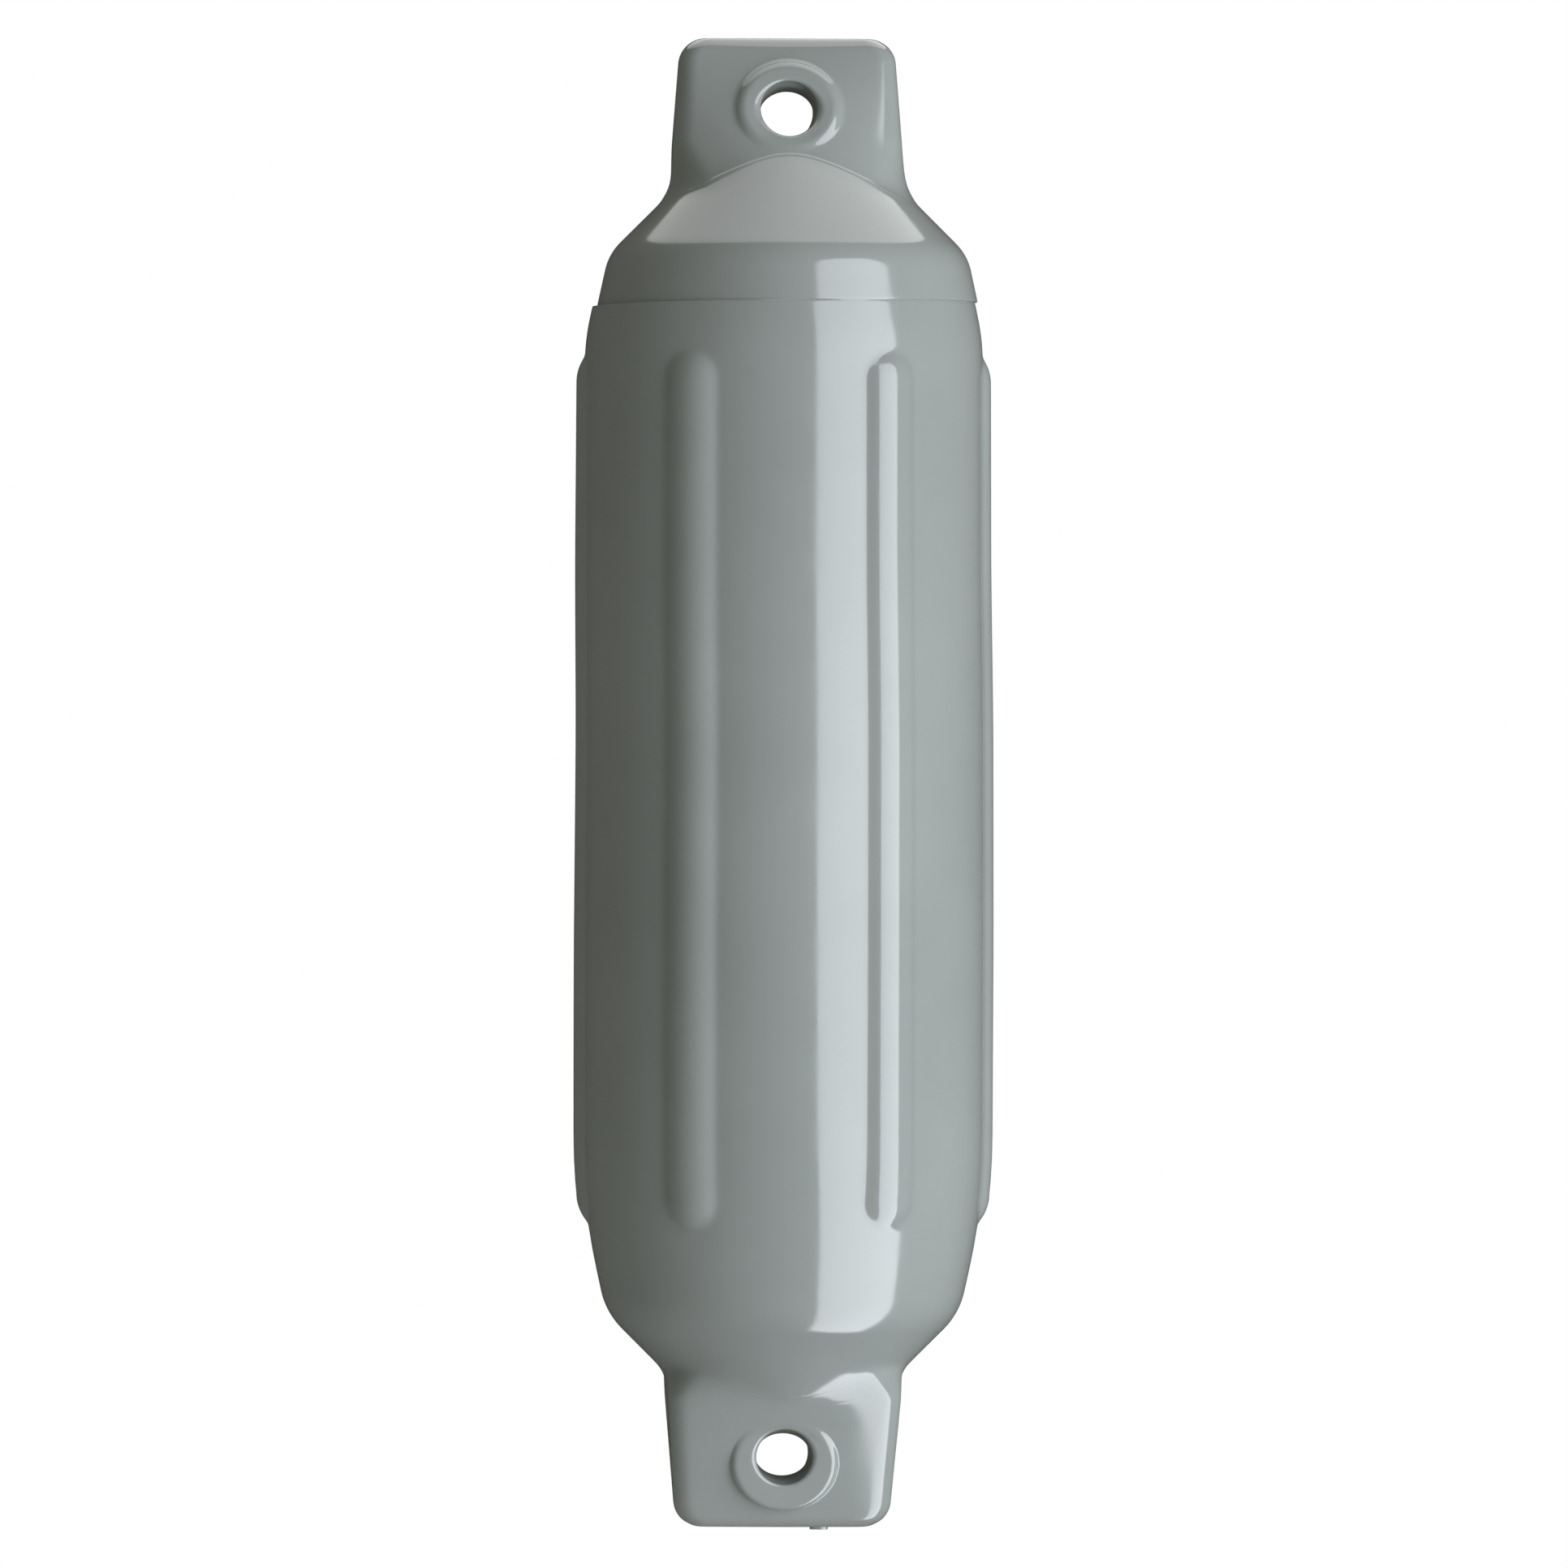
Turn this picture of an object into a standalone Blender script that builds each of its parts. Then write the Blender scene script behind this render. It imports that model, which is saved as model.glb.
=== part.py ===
"""Boat fender: a ribbed vinyl tube with a flattened lug and a rope eye at each end.

Metres, +Z up along the fender. The origin is the centre of the upper eye and the front faces -Y.
A depth is a distance below the upper eye, and "inward" is a distance from the nearest end.
"""

import bisect
import math

import bmesh
import bpy
from mathutils import Vector

# Overall size and the places along the length.
LENGTH = 0.483
EYE_INSET = 0.0235
UPPER_END = -EYE_INSET
LOWER_END = LENGTH - EYE_INSET
LOWER_EYE = LOWER_END - EYE_INSET

# The turned barrel: corners as (radius, depth, rounding radius). The first and last are the
# points of the two 45 degree shoulder cones, which lie inside the lugs.
BARREL_RADIUS = 0.0656
UPPER_CONE_POINT = -0.0120
LOWER_CONE_POINT = LOWER_END - 0.0120
UPPER_SHOULDER_RADIUS = BARREL_RADIUS - 0.0070
UPPER_SHOULDER_DEPTH = UPPER_CONE_POINT + UPPER_SHOULDER_RADIUS
LOWER_SHOULDER_RADIUS = BARREL_RADIUS - 0.0082
LOWER_SHOULDER_DEPTH = LOWER_CONE_POINT - LOWER_SHOULDER_RADIUS
BARREL_CORNERS = [
    (0.0, UPPER_CONE_POINT, 0.0),
    (UPPER_SHOULDER_RADIUS, UPPER_SHOULDER_DEPTH, 0.018),
    (BARREL_RADIUS - 0.0009, UPPER_SHOULDER_DEPTH + 0.0280, 0.070),
    (BARREL_RADIUS, (UPPER_SHOULDER_DEPTH + LOWER_SHOULDER_DEPTH) / 2 + 0.050, 1.500),
    (BARREL_RADIUS - 0.0002, LOWER_SHOULDER_DEPTH - 0.0355, 0.200),
    (LOWER_SHOULDER_RADIUS, LOWER_SHOULDER_DEPTH, 0.025),
    (0.0, LOWER_CONE_POINT, 0.0),
]
ARC_STEP = math.radians(8)

# The parting line round the upper shoulder: the cap above it is this much smaller.
SEAM_DEPTH = UPPER_SHOULDER_DEPTH + 0.0153
SEAM_STEP = 0.0006
SEAM_HEIGHT = 0.0004

# The two lugs: wedges that run from a round neck to a flat end.
LUG_WIDTH = 0.0694
LUG_THICKNESS = 0.0128
LUG_SIDE_TAPER = math.radians(4.0)
LUG_FACE_SLOPE = math.radians(29)
LUG_SQUARENESS = 7.0
NECK_SQUARENESS = 2.0
NECK_FLATNESS = 0.2
SQUARING = 8.3
LUG_REACH = 0.064
LUG_STEP = 0.0045
LUG_CORNER_ROUNDING = 0.0080
LUG_EDGE_ROUNDING = 0.0036
UPPER_NECK_FILLET = 0.0058
LOWER_NECK_FILLET = 0.0026
SKIN_SIDES = 68

# The raised ribs: sunk round bars with ball ends, evenly spaced from the +X side.
RIB_COUNT = 6
RIB_RADIUS = 0.0140
RIB_RISE = 0.0028
RIB_TOP = UPPER_SHOULDER_DEPTH + 0.0416
RIB_BOTTOM = LOWER_SHOULDER_DEPTH - 0.0388
RIB_CUTS = 7
RIB_SEGMENTS = 24
RIB_RINGS = 12

# The rope eyes: a throat along Y, and on each face of the lug a boss with a rounded mouth.
THROAT_RADIUS = 0.0091
BOSS_RADIUS = 0.0173
BOSS_TILT = math.radians(24)
BOSS_RISE = 0.0010
BOSS_EDGE = 0.0024
BOSS_ROOT = 0.0120
MOUTH_ROUNDING = 0.0042
MOUTH_OVERLAP = 0.0006
MOUTH_RIM_ANGLE = math.radians(25)
EYE_STEPS = 36

# The mark that the moulding gate leaves on the lower end.
GATE_RADIUS = 0.0030
GATE_FLATTENING = 0.55
GATE_OFFSET = 0.0120
GATE_RISE = 0.0009
GATE_ROOT = 0.0030
GATE_STEPS = 20

# The inflation valve, behind the upper shoulder: a seat in a pocket and a slotted screw in it.
VALVE_DEPTH = UPPER_SHOULDER_DEPTH - 0.0120
VALVE_TILT = math.radians(45)
CLEARANCE = 0.0003
SEAT_RADIUS = 0.0070
SEAT_HEIGHT = 0.0064
SEAT_RISE = 0.0006
SEAT_EDGE = 0.0005
RECESS_RADIUS = 0.0045
RECESS_DEPTH = 0.0018
BORE_RADIUS = 0.0023
BORE_DEPTH = 0.0052
HEAD_HEIGHT = 0.0013
HEAD_EDGE = 0.0003
SHANK_LENGTH = 0.0028
SLOT_WIDTH = 0.0010
SLOT_DEPTH = 0.0007
VALVE_STEPS = 36

MERGE = 0.00001
OVERCUT = 0.0100


def clear_scene():
    for thing in list(bpy.data.objects):
        bpy.data.objects.remove(thing, do_unlink=True)


def make_collection(name):
    collection = bpy.data.collections.new(name)
    bpy.context.scene.collection.children.link(collection)
    return collection


def make_material(name, colour, roughness, coat=0.0):
    material = bpy.data.materials.new(name)
    material.use_nodes = True
    shader = material.node_tree.nodes["Principled BSDF"]
    shader.inputs["Base Color"].default_value = (*colour, 1.0)
    shader.inputs["Roughness"].default_value = roughness
    shader.inputs["Metallic"].default_value = 0.0
    shader.inputs["Coat Weight"].default_value = coat
    return material


def add_object(name, mesh, collection, material=None):
    thing = bpy.data.objects.new(name, mesh)
    collection.objects.link(thing)
    if material:
        mesh.materials.append(material)
    return thing


def as_helper(thing):
    thing.hide_render = True
    thing.display_type = "WIRE"
    return thing


def aim(thing, place, direction):
    """Stands the object at this place with its own Z axis along this direction."""
    thing.location = place
    thing.rotation_mode = "QUATERNION"
    thing.rotation_quaternion = Vector((0, 0, 1)).rotation_difference(direction)


def rounded_path(corners):
    """The corners as (radius, depth) points, each with its rounding as an arc."""
    points = [Vector(corners[0][:2])]
    for before, corner, after in zip(corners, corners[1:], corners[2:]):
        here = Vector(corner[:2])
        to_before = (Vector(before[:2]) - here).normalized()
        to_after = (Vector(after[:2]) - here).normalized()
        turn = math.pi - to_before.angle(to_after)
        middle = (to_before + to_after).normalized()
        centre = here + middle * corner[2] / math.cos(turn / 2)
        start = here + to_before * corner[2] * math.tan(turn / 2) - centre
        end = here + to_after * corner[2] * math.tan(turn / 2) - centre
        steps = max(2, round(turn / ARC_STEP))
        for step in range(steps + 1):
            share = step / steps
            arm = start * math.sin((1 - share) * turn) + end * math.sin(share * turn)
            points.append(centre + arm / math.sin(turn))
    points.append(Vector(corners[-1][:2]))
    return points


def rounding_inset(inward, rounding):
    """How far a rounded edge has drawn in at this distance from the end."""
    left = max(rounding - inward, 0.0)
    return rounding - math.sqrt(rounding**2 - left**2)


def lug_half_sizes(inward):
    """Half the width and thickness of a lug, before its edges are rounded."""
    half_width = LUG_WIDTH / 2 + inward * math.tan(LUG_SIDE_TAPER)
    half_thickness = LUG_THICKNESS / 2 + inward * math.tan(LUG_FACE_SLOPE)
    return half_width, min(half_thickness, half_width)


def lug_point(inward, angle):
    """A lug's outline at this distance from the end: round at the neck, nearly square at the end."""
    half_width, half_thickness = lug_half_sizes(inward)
    flatness = (half_width - half_thickness) / (LUG_WIDTH - LUG_THICKNESS) * 2
    squareness = NECK_SQUARENESS + SQUARING * max(flatness - NECK_FLATNESS, 0.0) ** 1.5
    power = 2 / min(squareness, LUG_SQUARENESS)
    across, along = math.cos(angle), math.sin(angle)
    half_width -= rounding_inset(inward, LUG_CORNER_ROUNDING)
    half_thickness -= rounding_inset(inward, LUG_EDGE_ROUNDING)
    return Vector(
        (
            math.copysign(abs(across) ** power, across) * half_width,
            math.copysign(abs(along) ** power, along) * half_thickness,
        )
    )


def blended_max(first, second, fillet):
    """The larger of two radii, with a fillet where they are nearly equal."""
    near = max(fillet - abs(first - second), 0.0) / fillet
    return max(first, second) + near * near * fillet / 4


class Barrel:
    """The turned form: its radius at any depth."""

    def __init__(self):
        path = rounded_path(BARREL_CORNERS)
        self.depths = [point.y for point in path]
        self.radii = [point.x for point in path]

    def radius(self, depth):
        index = bisect.bisect_right(self.depths, depth)
        if index in (0, len(self.depths)):
            return 0.0
        start, end = self.depths[index - 1], self.depths[index]
        share = (depth - start) / (end - start)
        radius = self.radii[index - 1] + share * (self.radii[index] - self.radii[index - 1])
        return radius - SEAM_STEP if depth < SEAM_DEPTH else radius


def skin_depths(barrel):
    """The depths of the rings of the skin, from the upper end to the lower one."""
    roundings = [LUG_CORNER_ROUNDING * (1 - math.cos(math.radians(turn))) for turn in range(0, 91, 18)]
    steps = round((LUG_REACH - LUG_CORNER_ROUNDING) / LUG_STEP)
    roundings += [LUG_CORNER_ROUNDING + LUG_STEP * step for step in range(1, steps)]
    seam = [SEAM_DEPTH - SEAM_HEIGHT / 2, SEAM_DEPTH + SEAM_HEIGHT / 2]
    upper, lower = UPPER_END + roundings[-1], LOWER_END - roundings[-1]
    between = [depth for depth in barrel.depths if upper < depth < lower]
    between = [depth for depth in between if abs(depth - SEAM_DEPTH) > 2 * SEAM_HEIGHT]
    ends = [UPPER_END + inward for inward in roundings] + [LOWER_END - inward for inward in roundings]
    return sorted(ends + seam + between)


def skin_point(barrel, depth, angle):
    """A point of the skin: the lug or the barrel, whichever lies further out, in one direction."""
    inward = min(depth - UPPER_END, LOWER_END - depth)
    if inward > LUG_REACH:
        direction, reach = Vector((math.cos(angle), math.sin(angle))), 0.0
    else:
        direction = lug_point(inward, angle)
        reach = direction.length
        direction.normalize()
    fillet = UPPER_NECK_FILLET if depth < SEAM_DEPTH else LOWER_NECK_FILLET
    radius = blended_max(reach, barrel.radius(depth), fillet)
    return Vector((direction.x * radius, direction.y * radius, -depth))


def loft_skin(barrel, collection, material):
    """The barrel and both lugs as one loft: a ball whose rings are moved to the sections."""
    depths = skin_depths(barrel)
    shell = bmesh.new()
    bmesh.ops.create_uvsphere(shell, u_segments=SKIN_SIDES, v_segments=len(depths) + 1, radius=1)
    for vertex in shell.verts:
        unit = vertex.co.normalized()
        ring = round(math.acos(max(-1.0, min(1.0, unit.z))) / math.pi * (len(depths) + 1)) - 1
        if 0 <= ring < len(depths):
            vertex.co = skin_point(barrel, depths[ring], math.atan2(unit.y, unit.x))
        else:
            vertex.co = Vector((0, 0, -depths[max(0, min(ring, len(depths) - 1))]))
    mesh = bpy.data.meshes.new("fender_body")
    shell.to_mesh(mesh)
    shell.free()
    mesh.shade_smooth()
    return add_object("fender_body", mesh, collection, material)


def make_rib(index, barrel, collection):
    """A ball drawn out into a bar that follows the barrel, sunk until only its crest shows."""
    bar = bmesh.new()
    bmesh.ops.create_uvsphere(bar, u_segments=RIB_SEGMENTS, v_segments=RIB_RINGS, radius=RIB_RADIUS)
    for vertex in bar.verts:
        vertex.co.z -= RIB_TOP
    lower = [face for face in bar.faces if face.calc_center_median().z < -RIB_TOP]
    drawn = bmesh.ops.split(bar, geom=lower)["geom"]
    for vertex in {part for part in drawn if isinstance(part, bmesh.types.BMVert)}:
        vertex.co.z -= RIB_BOTTOM - RIB_TOP
    rims = [edge for edge in bar.edges if edge.is_boundary]
    bmesh.ops.bridge_loops(bar, edges=rims)
    long_edges = [edge for edge in bar.edges if edge.calc_length() > RIB_BOTTOM - RIB_TOP - MERGE]
    bmesh.ops.subdivide_edges(bar, edges=long_edges, cuts=RIB_CUTS)
    for vertex in bar.verts:
        depth = max(RIB_TOP, min(RIB_BOTTOM, -vertex.co.z))
        vertex.co.x += barrel.radius(depth) + RIB_RISE - RIB_RADIUS
    bmesh.ops.recalc_face_normals(bar, faces=bar.faces)
    mesh = bpy.data.meshes.new(f"rib_{index + 1}")
    bar.to_mesh(mesh)
    bar.free()
    rib = as_helper(add_object(mesh.name, mesh, collection))
    rib.rotation_euler.z = 2 * math.pi * index / RIB_COUNT
    return rib


def turn_profile(name, profile, steps, collection, material=None):
    """A turned solid from (radius, height) points that run down the outer side."""
    mesh = bpy.data.meshes.new(name)
    edges = [(index, index + 1) for index in range(len(profile) - 1)]
    mesh.from_pydata([(radius, 0, height) for radius, height in profile], edges, [])
    turned = add_object(name, mesh, collection, material)
    screw = turned.modifiers.new("turn", "SCREW")
    screw.steps = screw.render_steps = steps
    screw.use_merge_vertices = True
    screw.merge_threshold = MERGE
    return turned


def rounded_edge(radius, height, rounding, steps=4):
    """The rounded top edge of a turned solid, from its top face to its side."""
    turns = [math.pi / 2 * step / steps for step in range(steps + 1)]
    return [
        (radius - rounding * (1 - math.sin(turn)), height - rounding * (1 - math.cos(turn)))
        for turn in turns
    ]


def bell(radius, rounding, rim_angle, steps=4):
    """A rounded mouth, from its rim down to where it is as narrow as this radius."""
    turns = [rim_angle + (math.pi / 2 - rim_angle) * step / steps for step in range(steps + 1)]
    return [
        (radius + rounding * (1 - math.sin(turn)), -rounding * (1 - math.cos(turn))) for turn in turns
    ]


def eye_face(end, side):
    """Where the boss on one face of a lug is centred, and the way it looks."""
    eye_depth = LOWER_EYE if end < 0 else 0.0
    half_thickness = lug_half_sizes(EYE_INSET)[1]
    place = Vector((0, side * (half_thickness + BOSS_RISE), -eye_depth))
    return place, Vector((0, side * math.cos(BOSS_TILT), end * math.sin(BOSS_TILT)))


def make_boss(name, end, side, collection):
    profile = [(0, 0)] + rounded_edge(BOSS_RADIUS, 0, BOSS_EDGE)
    profile += [(BOSS_RADIUS, -BOSS_ROOT), (0, -BOSS_ROOT)]
    boss = as_helper(turn_profile(name, profile, EYE_STEPS, collection))
    aim(boss, *eye_face(end, side))
    return boss


def make_mouth(name, end, side, collection):
    """The cutter for a mouth: a bell that runs on past the boss and ends inside the throat."""
    curve = bell(THROAT_RADIUS - MOUTH_OVERLAP, MOUTH_ROUNDING, MOUTH_RIM_ANGLE)
    wide = curve[0][0] + OVERCUT / math.tan(MOUTH_RIM_ANGLE)
    profile = [(0, curve[0][1] + OVERCUT), (wide, curve[0][1] + OVERCUT)] + curve
    profile.append((0, curve[-1][1]))
    mouth = as_helper(turn_profile(name, profile, EYE_STEPS, collection))
    aim(mouth, *eye_face(end, side))
    return mouth


def make_throat(name, end, collection):
    reach = lug_half_sizes(EYE_INSET)[1] + OVERCUT
    profile = [(0, reach), (THROAT_RADIUS, reach), (THROAT_RADIUS, -reach), (0, -reach)]
    throat = as_helper(turn_profile(name, profile, EYE_STEPS, collection))
    aim(throat, Vector((0, 0, -LOWER_EYE if end < 0 else 0.0)), Vector((0, 1, 0)))
    return throat


def make_gate_mark(collection):
    profile = [(0, GATE_RISE), (GATE_RADIUS, GATE_RISE), (GATE_RADIUS, -GATE_ROOT), (0, -GATE_ROOT)]
    mark = as_helper(turn_profile("gate_mark", profile, GATE_STEPS, collection))
    aim(mark, Vector((GATE_OFFSET, 0, -LOWER_END)), Vector((0, 0, -1)))
    mark.scale.y = GATE_FLATTENING
    return mark


def valve_face(barrel):
    """The middle of the valve on the rear of the upper shoulder, and the way it looks."""
    place = Vector((0, barrel.radius(VALVE_DEPTH), -VALVE_DEPTH))
    return place, Vector((0, math.cos(VALVE_TILT), math.sin(VALVE_TILT)))


def make_valve_pocket(barrel, collection):
    radius = SEAT_RADIUS + CLEARANCE
    floor = SEAT_RISE - SEAT_HEIGHT - CLEARANCE
    profile = [(0, OVERCUT), (radius, OVERCUT), (radius, floor), (0, floor)]
    pocket = as_helper(turn_profile("valve_pocket", profile, VALVE_STEPS, collection))
    aim(pocket, *valve_face(barrel))
    return pocket


def make_valve_seat(barrel, collection, material):
    """The moulded seat: a round plug with a recess for the screw's head and a blind bore."""
    top = SEAT_RISE
    profile = [(0, top - BORE_DEPTH), (BORE_RADIUS, top - BORE_DEPTH), (BORE_RADIUS, top - RECESS_DEPTH)]
    profile += [(RECESS_RADIUS, top - RECESS_DEPTH), (RECESS_RADIUS, top)]
    profile += rounded_edge(SEAT_RADIUS, top, SEAT_EDGE, 3)
    profile += [(SEAT_RADIUS, top - SEAT_HEIGHT), (0, top - SEAT_HEIGHT)]
    seat = turn_profile("valve_seat", profile, VALVE_STEPS, collection, material)
    seat.data.shade_smooth()
    aim(seat, *valve_face(barrel))
    return seat


def make_valve_screw(barrel, collection, helpers, material):
    """The slotted screw that closes the valve, clear of its seat all round."""
    under = SEAT_RISE - RECESS_DEPTH + CLEARANCE
    head, shank = RECESS_RADIUS - CLEARANCE, BORE_RADIUS - CLEARANCE
    profile = [(0, under + HEAD_HEIGHT)] + rounded_edge(head, under + HEAD_HEIGHT, HEAD_EDGE, 3)
    profile += [(head, under), (shank, under), (shank, under - SHANK_LENGTH), (0, under - SHANK_LENGTH)]
    screw = turn_profile("valve_screw", profile, VALVE_STEPS, collection, material)
    aim(screw, *valve_face(barrel))
    cutter = bmesh.new()
    bmesh.ops.create_cube(cutter, size=1)
    size = Vector((4 * head, SLOT_WIDTH, 2 * SLOT_DEPTH))
    bmesh.ops.scale(cutter, vec=size, verts=cutter.verts)
    bmesh.ops.translate(cutter, vec=(0, 0, under + HEAD_HEIGHT), verts=cutter.verts)
    mesh = bpy.data.meshes.new("screw_slot")
    cutter.to_mesh(mesh)
    cutter.free()
    slot = as_helper(add_object("screw_slot", mesh, helpers))
    aim(slot, *valve_face(barrel))
    cut = screw.modifiers.new("slot", "BOOLEAN")
    cut.operation = "DIFFERENCE"
    cut.object = slot
    return screw


def combine(thing, operation, helpers):
    boolean = thing.modifiers.new(operation.lower(), "BOOLEAN")
    boolean.operation = operation
    boolean.operand_type = "COLLECTION"
    boolean.collection = helpers


def build():
    clear_scene()
    parts = make_collection("boat_fender")
    relief = make_collection("raised_features")
    cuts = make_collection("cut_features")
    slots = make_collection("screw_cuts")
    for helpers in (relief, cuts, slots):
        helpers.hide_render = True
    vinyl = make_material("grey_vinyl", (0.255, 0.275, 0.270), 0.16, 0.3)
    nylon = make_material("dark_valve_plastic", (0.045, 0.047, 0.048), 0.40)
    barrel = Barrel()
    body = loft_skin(barrel, parts, vinyl)
    for index in range(RIB_COUNT):
        make_rib(index, barrel, relief)
    for end_name, end in (("upper", 1), ("lower", -1)):
        make_throat(f"{end_name}_throat", end, cuts)
        for side_name, side in (("front", -1), ("back", 1)):
            make_boss(f"{end_name}_{side_name}_boss", end, side, relief)
            make_mouth(f"{end_name}_{side_name}_mouth", end, side, cuts)
    make_gate_mark(relief)
    make_valve_pocket(barrel, cuts)
    combine(body, "UNION", relief)
    combine(body, "DIFFERENCE", cuts)
    make_valve_seat(barrel, parts, nylon)
    make_valve_screw(barrel, parts, slots, nylon)


build()
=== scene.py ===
import bisect
import math

import bmesh
import bpy
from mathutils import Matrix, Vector, noise


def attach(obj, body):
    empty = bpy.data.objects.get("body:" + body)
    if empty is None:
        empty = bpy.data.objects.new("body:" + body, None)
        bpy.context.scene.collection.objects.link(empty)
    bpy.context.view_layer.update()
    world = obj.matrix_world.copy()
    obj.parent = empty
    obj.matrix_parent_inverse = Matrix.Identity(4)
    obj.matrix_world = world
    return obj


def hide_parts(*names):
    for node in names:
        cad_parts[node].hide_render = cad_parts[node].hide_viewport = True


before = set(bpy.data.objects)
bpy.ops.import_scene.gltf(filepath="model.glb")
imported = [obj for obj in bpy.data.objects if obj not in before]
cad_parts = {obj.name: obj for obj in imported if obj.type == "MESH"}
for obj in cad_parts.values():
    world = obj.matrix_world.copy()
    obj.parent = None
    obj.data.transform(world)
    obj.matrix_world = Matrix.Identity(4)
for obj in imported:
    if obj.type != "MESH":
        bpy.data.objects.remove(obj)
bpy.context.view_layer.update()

barrelShape = {
    "radius": 0.0656,
    "upperEnd": -0.0235,
    "lowerEnd": 0.4595,
    "upperShoulder": (0.0586, 0.0466, 0.018),  # radius, depth, rounding
    "lowerShoulder": (0.0574, 0.3901, 0.025),
    "upperBend": (0.0009, 0.0280, 0.070),  # inset from the radius, distance from the shoulder, rounding
    "lowerBend": (0.0002, 0.0355, 0.200),
    "widest": (0.050, 1.500),  # how far under the middle, rounding
    "coneInsets": (0.0115, 0.0120),  # from a cone's point to the end of the upper and the lower lug
    "middle": 0.2,  # the depth that parts the upper end from the lower one
    "arcStep": math.radians(2),
    "waveHeight": 0.00016,
    "waveShift": 0.7,  # of that height, which keeps the waves under the radius
    "waveLength": (0.045, 0.130),  # round the barrel, along it
    "waveReach": (0.060, 0.385),
    "waveFade": 0.02,
}
seamShape = {
    "depth": 0.0619,
    "step": 0.0003,  # the cap above the seam is this much smaller
    "groove": 0.00010,
    "groovePitch": 0.00030,
    "leftDrop": 0.0016,  # how much lower the seam runs at the left and at the front
    "frontDrop": 0.0004,
    "warpReach": 0.014,
    "capShift": 0.0006,  # sideways, the cap one way and the barrel the other
    "barrelShift": -0.0006,
    "capReach": (0.010, 0.028),  # the depths over which the cap's shift sets in
    "barrelReach": (0.140, 0.210),  # and over which the barrel's ends
}
lugShape = {
    "width": 0.0694,
    "thickness": 0.0128,
    "sideTaper": math.radians(4.0),
    "upperFaceSlope": math.radians(28.2),
    "lowerFaceSlope": math.radians(29),
    "corner": 0.0060,
    "cornerLimit": 0.98,  # of half the thickness
    "cornerGrowth": ((0.034, 0.60), (0.043, 0.80)),  # upper and lower: from how far inward, and how fast
    "upperCrown": 225.0,  # how fast the faces bow out towards the neck
    "lowerCrown": {"start": 2.2, "growth": 20.0, "bendAt": 0.032, "bend": 700000.0, "most": 9.0},
    "crownPasses": 10,
    "crownTolerance": 0.0001,
    "reach": 0.064,
    "cornerRounding": 0.0080,
    "edgeRounding": 0.0036,
    "faceFillets": (0.0018, 0.0015),  # of the upper and the lower neck, on the middle of a face
    "cornerFillets": (0.0056, 0.0060),
    "sideFillets": (0.0087, 0.0050),
    "faceToCorner": (0.10, 0.60),  # the cosines of the headings over which one fillet turns into the next
    "cornerToSide": (0.80, 1.0),
    "filletFade": (0.050, 0.060),
    "leastFillet": 0.00001,
}
ribShape = {
    "count": 6,
    "radius": 0.0140,
    "rise": 0.0027,
    "top": 0.0882,
    "bottom": 0.3513,
    "fillet": 0.0012,
}


def clamped(value):
    return min(max(value, 0.0), 1.0)


def smoothStep(low, high, value):
    share = clamped((value - low) / (high - low))
    return share * share * (3 - 2 * share)


def isLower(depth):
    return depth > barrelShape["middle"]


def roundedPath(corners, arcStep):
    # corners as (radius, depth, rounding) turned into points, each rounding as an arc
    points = [Vector(corners[0][:2])]
    for before, corner, after in zip(corners, corners[1:], corners[2:]):
        here = Vector(corner[:2])
        toBefore = (Vector(before[:2]) - here).normalized()
        toAfter = (Vector(after[:2]) - here).normalized()
        turn = math.pi - toBefore.angle(toAfter)
        centre = here + (toBefore + toAfter).normalized() * corner[2] / math.cos(turn / 2)
        start = here + toBefore * corner[2] * math.tan(turn / 2) - centre
        end = here + toAfter * corner[2] * math.tan(turn / 2) - centre
        steps = max(2, round(turn / arcStep))
        for step in range(steps + 1):
            share = step / steps
            arm = start * math.sin((1 - share) * turn) + end * math.sin(share * turn)
            points.append(centre + arm / math.sin(turn))
    points.append(Vector(corners[-1][:2]))
    return points


def barrelCorners(shape):
    # as (radius, depth, rounding), from the point of the upper cone to that of the lower one
    radius, upper, lower = shape["radius"], shape["upperShoulder"], shape["lowerShoulder"]
    upperInset, upperRun, upperRounding = shape["upperBend"]
    lowerInset, lowerRun, lowerRounding = shape["lowerBend"]
    drop, widestRounding = shape["widest"]
    return [
        (0.0, shape["upperEnd"] + shape["coneInsets"][0], 0.0),
        upper,
        (radius - upperInset, upper[1] + upperRun, upperRounding),
        (radius, (upper[1] + lower[1]) / 2 + drop, widestRounding),
        (radius - lowerInset, lower[1] - lowerRun, lowerRounding),
        lower,
        (0.0, shape["lowerEnd"] - shape["coneInsets"][1], 0.0),
    ]


barrelPath = roundedPath(barrelCorners(barrelShape), barrelShape["arcStep"])
pathDepths = [point.y for point in barrelPath]


def barrelRadius(depth):
    index = bisect.bisect_right(pathDepths, depth)
    if index in (0, len(pathDepths)):
        return 0.0
    start, end = barrelPath[index - 1], barrelPath[index]
    return start.x + (depth - start.y) / (end.y - start.y) * (end.x - start.x)


def roundingInset(inward, rounding):
    left = max(rounding - inward, 0.0)
    return rounding - math.sqrt(rounding**2 - left**2)


def inwardOf(depth):
    return min(depth - barrelShape["upperEnd"], barrelShape["lowerEnd"] - depth)


def lugCrown(inward, lower):
    # how far a face bows back, over the square of the distance from its middle
    if not lower:
        return lugShape["upperCrown"] * inward
    crown = lugShape["lowerCrown"]
    bend = crown["bend"] * max(inward - crown["bendAt"], 0.0) ** 3
    return min(crown["start"] + crown["growth"] * inward + bend, crown["most"])


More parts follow.
